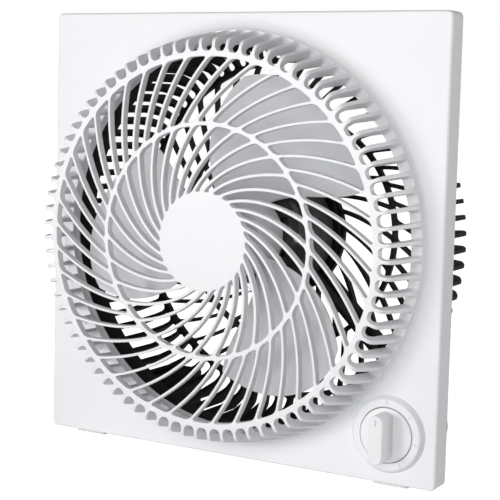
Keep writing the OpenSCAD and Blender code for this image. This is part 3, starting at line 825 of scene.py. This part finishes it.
# ---------- impeller ----------
hub = lathe("hub", [
    (0, HUB_FRONT, 0), (HUB_R, HUB_FRONT, 6), (HUB_R, HUB_BACK, 0.8),
    (HUB_R - HUB_WALL, HUB_BACK, 0.6), (HUB_R - HUB_WALL, HUB_FRONT - 5, 1),
    (SOCKET_R, HUB_FRONT - 5, 1), (SOCKET_R, HUB_BACK, 0.5), (SHAFT_HOLE, HUB_BACK, 0.2),
    (SHAFT_HOLE, HUB_FRONT - 0.1, 0),
], segments=96)
blades = grow("blades", blade_set, blade_grey, count=BLADES, phase=0.0, hub_radius=HUB_R,
              tip_radius=BLADE_R, pitch_height=BLADE_H, thickness=BLADE_T)
impeller = join("impeller_moulding", [hub, blades])
settle(crisp(impeller, 50), FRONT_VIEW, "rotor", "blade_grey", blade_grey, "impeller")

# ---------- rear guard ----------
GUARD_BARS = dict(reference_radius=MID_R, sweep=GUARD_SWEEP, depth=5.0, edge=0.5,
                  fillet=1.4, width=2.6, inner_height=-GUARD_D + GUARD_DEEP,
                  outer_height=-GUARD_D + GUARD_DEEP)
guard_parts = [
    grow("guard outer bars", rib_row, guard_black, count=GUARD_OUTER_BARS, phase=GUARD_PHASE,
         inner_radius=GUARD_MID + GUARD_MID_HALF, outer_radius=RING_R, **GUARD_BARS),
    grow("guard inner bars", rib_row, guard_black, count=GUARD_INNER_BARS, phase=GUARD_PHASE,
         inner_radius=PLATE_R + 1.5, outer_radius=GUARD_MID - GUARD_MID_HALF, **GUARD_BARS),
    lathe("guard middle ring", [
        (GUARD_MID - GUARD_MID_HALF, -GUARD_D, 0.5),
        (GUARD_MID + GUARD_MID_HALF, -GUARD_D, 0.5),
        (GUARD_MID + GUARD_MID_HALF, -GUARD_D + GUARD_DEEP, 0.5),
        (GUARD_MID - GUARD_MID_HALF, -GUARD_D + GUARD_DEEP, 0.5),
    ], segments=180),
    lathe("guard edge ring", [
        (RING_R, -GUARD_D, 0.5), (SLOT_R + 0.3, -GUARD_D, 0.3),
        (SLOT_R + 0.3, -GUARD_D + GUARD_RING_DEEP, 0.3), (RING_R, -GUARD_D + GUARD_RING_DEEP, 0.5),
    ], segments=240),
    lathe("motor plate", [
        (PLATE_HOLE, -PLATE_Z, 0.4), (PLATE_R, -PLATE_Z, 0.6), (PLATE_R, -GUARD_D + GUARD_DEEP, 0),
        (PLATE_R + 1.8, -GUARD_D + GUARD_DEEP, 0.4), (PLATE_R + 1.8, -GUARD_D, 0.5),
        (PLATE_R - 2.5, -GUARD_D, 0.6), (PLATE_R - 2.5, -PLATE_Z - PLATE_THICK, 0.6),
        (PLATE_HOLE, -PLATE_Z - PLATE_THICK, 0.4),
    ]),
    lathe("guard band", [
        (HOLE_R + 0.2, -WALL - 0.3, 0.3), (HOLE_R + 2.8, -WALL - 0.3, 0.4), (GUARD_R, -9, 1.2),
        (GUARD_R, -GUARD_SLOT, 0), (GUARD_R - GUARD_WALL, -GUARD_SLOT, 0), (HOLE_R + 3, -12, 0.5),
        (HOLE_R + 0.2, -9, 0.5),
    ], segments=240),
]
back_outer, back_inner = guard_lines(
    [(SLOT_R + 0.1, -GUARD_D, 0), (GUARD_R - GUARD_WALL, -GUARD_D, 7),
     (GUARD_R, -GUARD_D + 12, 3), (GUARD_R, -GUARD_SLOT + 0.5, 0)],
    [(SLOT_R + 0.1, -GUARD_D + GUARD_RING_DEEP, 0), (GUARD_R - 11, -GUARD_D + 11, 3),
     (GUARD_R - GUARD_WALL, -GUARD_D + 30, 3), (GUARD_R - GUARD_WALL, -GUARD_SLOT + 0.5, 0)],
)
# these fins have no foot, so its height lies far below them
NO_FOOT, NO_FILLET = -999.0, 0.01
guard_parts.append(grow(
    "guard fins", fin_row, guard_black, count=FIN_COUNT, phase=FIN_PHASE,
    slot_radius=SLOT_R, slot_width=SLOT_W, edge=0.5, foot_height=NO_FOOT,
    foot_fillet=NO_FILLET, outer_line=back_outer, inner_line=back_inner,
))
for line in (fin_outer, fin_inner, back_outer, back_inner):
    bpy.data.objects.remove(line)


def leg(side):
    """A rear leg that carries the guard down to its pad."""
    # (height, depth) corners of the leg, seen from the side
    low, top, front = -PANEL / 2, -108.5, -30
    line = [(low, front - 4), (low, -GUARD_D + 4), (low + 4, -GUARD_D), (top - 4.5, -GUARD_D),
            (top, -GUARD_D + 12), (top, front), (low + 4, front)]
    obj = prism("leg", line, -LEG_HALF, LEG_HALF, bevel=1.0)
    obj.data.transform(SIDE_ON)
    return shift(obj, side * LEG_X)


def spoke():
    """The channelled spoke that the motor's lead lies in."""
    top, low, far_end = -67.6, -GUARD_D + 0.6, 126.0
    half, groove, floor = 5.5, 3.0, -70.2
    line = [(-half, low), (half, low), (half, top), (groove, top), (groove, floor),
            (-groove, floor), (-groove, top), (-half, top)]
    obj = prism("spoke", line, PLATE_R - 0.5, far_end, bevel=0.5)
    obj.data.transform(SIDE_ON)
    return shift(obj, turn=LEAD_ANGLE)


tab = lathe("tab", [
    (SCREW_HOLE, -10.4, 0.2), (6, -10.4, 0.5), (6, -13.2, 0.5), (SCREW_HOLE, -13.2, 0.2)
], segments=32, steps=2)
for lug in LUG_ANGLES:
    guard_parts.append(grow("tabs", pieces_round, guard_black, count=2,
                            phase=math.radians(lug), radius=LUG_R, piece=tab))
bpy.data.objects.remove(tab)
guard = join("rear_guard_moulding", guard_parts + [leg(-1), leg(1), spoke()])
settle(crisp(guard, 45), FRONT_VIEW, "housing", "black_guard", guard_black, "rear_guard")

# ---------- switch cover ----------
cup = lathe("cup", [
    (CUP_R - CUP_WALL, -WALL - 0.3, 0.4), (CUP_R, -WALL - 0.3, 0.4), (CUP_R, -CUP_D, 4.5),
    (GLAND_HOLE, -CUP_D, 0.5), (GLAND_HOLE, -CUP_D + CUP_WALL, 0.4),
    (CUP_R - CUP_WALL, -CUP_D + CUP_WALL, 3),
], segments=112, steps=6)
ears = []
for side in (-1, 1):
    ear = lathe("ear", [
        (SCREW_HOLE, -8.2, 0.2), (5, -8.2, 0.5), (5, -11.2, 0.6), (SCREW_HOLE, -11.2, 0.2)
    ], segments=36, steps=3)
    ears.append(shift(ear, side * EAR, side * EAR))
settle(join("switch_cup", [cup, *ears]), KNOB_VIEW, "housing", "black_cup", cup_black,
       "switch_cover")


# ---------- screws ----------
def screw(head_r, head_h, under, length, shank=1.2):
    """A pan-head screw that points forwards, with a cross on its head."""
    bar_reach, bar_half, bar_rise, bar_sunk = head_r * 0.62, 0.35, 0.02, 0.4
    head = lathe("head", [
        (0, under - head_h, 0), (head_r * 0.55, under - head_h, 0.8), (head_r, under, 1.1),
        (shank, under, 0.1), (shank, under + length - 1.2, 0.2), (0, under + length, 0),
    ], segments=28, steps=3)
    cross = [block("bar", (-bar_reach, -bar_half, under - head_h - bar_rise),
                   (bar_reach, bar_half, under - head_h + bar_sunk), 0.08)]
    cross.append(shift(copy_of(cross[0], "bar"), turn=90))
    return join("screw", [head, *cross])


one_screw = screw(head_r=3.0, head_h=2.0, under=-13.3, length=7.6)
screw_sets = [
    grow("screws", pieces_round, screw_zinc, count=2, phase=math.radians(a), radius=LUG_R,
         piece=one_screw)
    for a in LUG_ANGLES
]
bpy.data.objects.remove(one_screw)
settle(crisp(join("cover_screw_set", screw_sets)), FRONT_VIEW, "housing", "screw_steel",
       screw_zinc, "cover_screws")
ear_screw = screw(head_r=2.8, head_h=1.9, under=-11.3, length=6.0)
pair = grow("screws", pieces_round, screw_zinc, count=2, phase=math.radians(45),
            radius=EAR * math.sqrt(2), piece=ear_screw)
bpy.data.objects.remove(ear_screw)
pair.name = "cup_screw_pair"
settle(crisp(pair), KNOB_VIEW, "housing", "screw_steel", screw_zinc, "switch_cover_screws")


# ---------- feet ----------
def pads(name, node, wide, look):
    """Rubber pads with rounded corners and soft edges, one for each CAD pad."""
    lo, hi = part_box(node)
    y0, y1 = lo.y * 1000, hi.y * 1000
    made = []
    for side in (-1, 1):
        x = side * (hi.x * 1000 - wide / 2)
        corners = [(x - wide / 2, y0, 2), (x + wide / 2, y0, 2), (x + wide / 2, y1, 2),
                   (x - wide / 2, y1, 2)]
        line = [(p.x, p.y) for p in outline(corners)]
        made.append(prism("pad", line, 0.0, FOOT_H, bevel=0.35))
    settle(crisp(join(name, made)), TO_METRES, "housing", "foot_rubber", look, node)


pads("front_pads", "front_feet", FRONT_PAD_W, pad_pale)
pads("rear_pads", "rear_feet", REAR_PAD_W, pad_rubber)

# ---------- floor, light and camera ----------
# the floor and the sky look pale to the camera, and add little light of their own
FLOOR_GLOW, FLOOR_HALF = 0.95, 8.0
SKY_SEEN, SKY_LIGHT = 1.0, 0.18
floor_mat = bpy.data.materials.new("pale floor")
floor_mat.use_nodes = True
floor_shader = floor_mat.node_tree.nodes["Principled BSDF"]
floor_shader.inputs["Base Color"].default_value = (0.92, 0.92, 0.93, 1)
floor_shader.inputs["Roughness"].default_value = 0.9
floor_shader.inputs["Emission Color"].default_value = (1, 1, 1, 1)
floor_seen = floor_mat.node_tree.nodes.new("ShaderNodeLightPath").outputs["Is Camera Ray"]
floor_glow = FLOOR_GLOW * Num(floor_mat.node_tree, floor_seen)
feed(floor_mat.node_tree, floor_glow, floor_shader.inputs["Emission Strength"])
bm = bmesh.new()
bmesh.ops.create_grid(bm, x_segments=2, y_segments=2, size=FLOOR_HALF)
floor = from_bmesh("floor", bm)
floor.data.materials.append(floor_mat)

world = bpy.data.worlds.new("studio")
world.use_nodes = True
backdrop = world.node_tree.nodes["Background"]
backdrop.inputs["Color"].default_value = (1, 1, 1, 1)
seen = world.node_tree.nodes.new("ShaderNodeLightPath").outputs["Is Camera Ray"]
glow = SKY_LIGHT + (SKY_SEEN - SKY_LIGHT) * Num(world.node_tree, seen)
feed(world.node_tree, glow, backdrop.inputs["Strength"])
bpy.context.scene.world = world
bpy.context.scene.view_settings.view_transform = "Standard"


def lamp(name, at, aim, size, power):
    """A square soft light that points at a place; size in metres, power in watts."""
    light = bpy.data.lights.new(name, "AREA")
    light.shape = "SQUARE"
    light.size = size
    light.energy = power
    obj = bpy.data.objects.new(name, light)
    bpy.context.scene.collection.objects.link(obj)
    obj.location = at
    obj.rotation_euler = (aim - Vector(at)).to_track_quat("-Z", "Y").to_euler()


middle = Vector((0, FACE_Y, AXIS.z))
lamp("key", (-0.75, -1.7, 0.2), middle, 0.7, 16.2)
lamp("fill", (0.45, -1.8, 0.7), middle, 0.9, 13.2)
lamp("side", (1.5, 0.7, 0.3), middle, 0.8, 8)

# where the camera stands, from the middle of the panel's face, and how it is turned
CAMERA_FROM_FACE = Vector((0.4471, -0.7725, 0.0921))
AZIMUTH, ELEVATION, ROLL = (math.radians(a) for a in (29.251, 4.7214, 1.5809))
forward = Vector((
    -math.sin(AZIMUTH) * math.cos(ELEVATION), math.cos(AZIMUTH) * math.cos(ELEVATION),
    -math.sin(ELEVATION),
))
level = Vector((math.cos(AZIMUTH), math.sin(AZIMUTH), 0))
upward = level.cross(forward)
right = math.cos(ROLL) * level + math.sin(ROLL) * upward
up = -math.sin(ROLL) * level + math.cos(ROLL) * upward
SENSOR, FOCAL_LENGTH, SHIFT = 36.0, 96.106, (-0.0068, -0.08)
lens = bpy.data.cameras.new("camera")
lens.sensor_width = SENSOR
lens.lens = FOCAL_LENGTH
lens.shift_x, lens.shift_y = SHIFT
camera = bpy.data.objects.new("camera", lens)
bpy.context.scene.collection.objects.link(camera)
turned = Matrix((right, up, -forward)).transposed().to_4x4()
camera.matrix_world = Matrix.Translation(AXIS + CAMERA_FROM_FACE) @ turned
bpy.context.scene.camera = camera
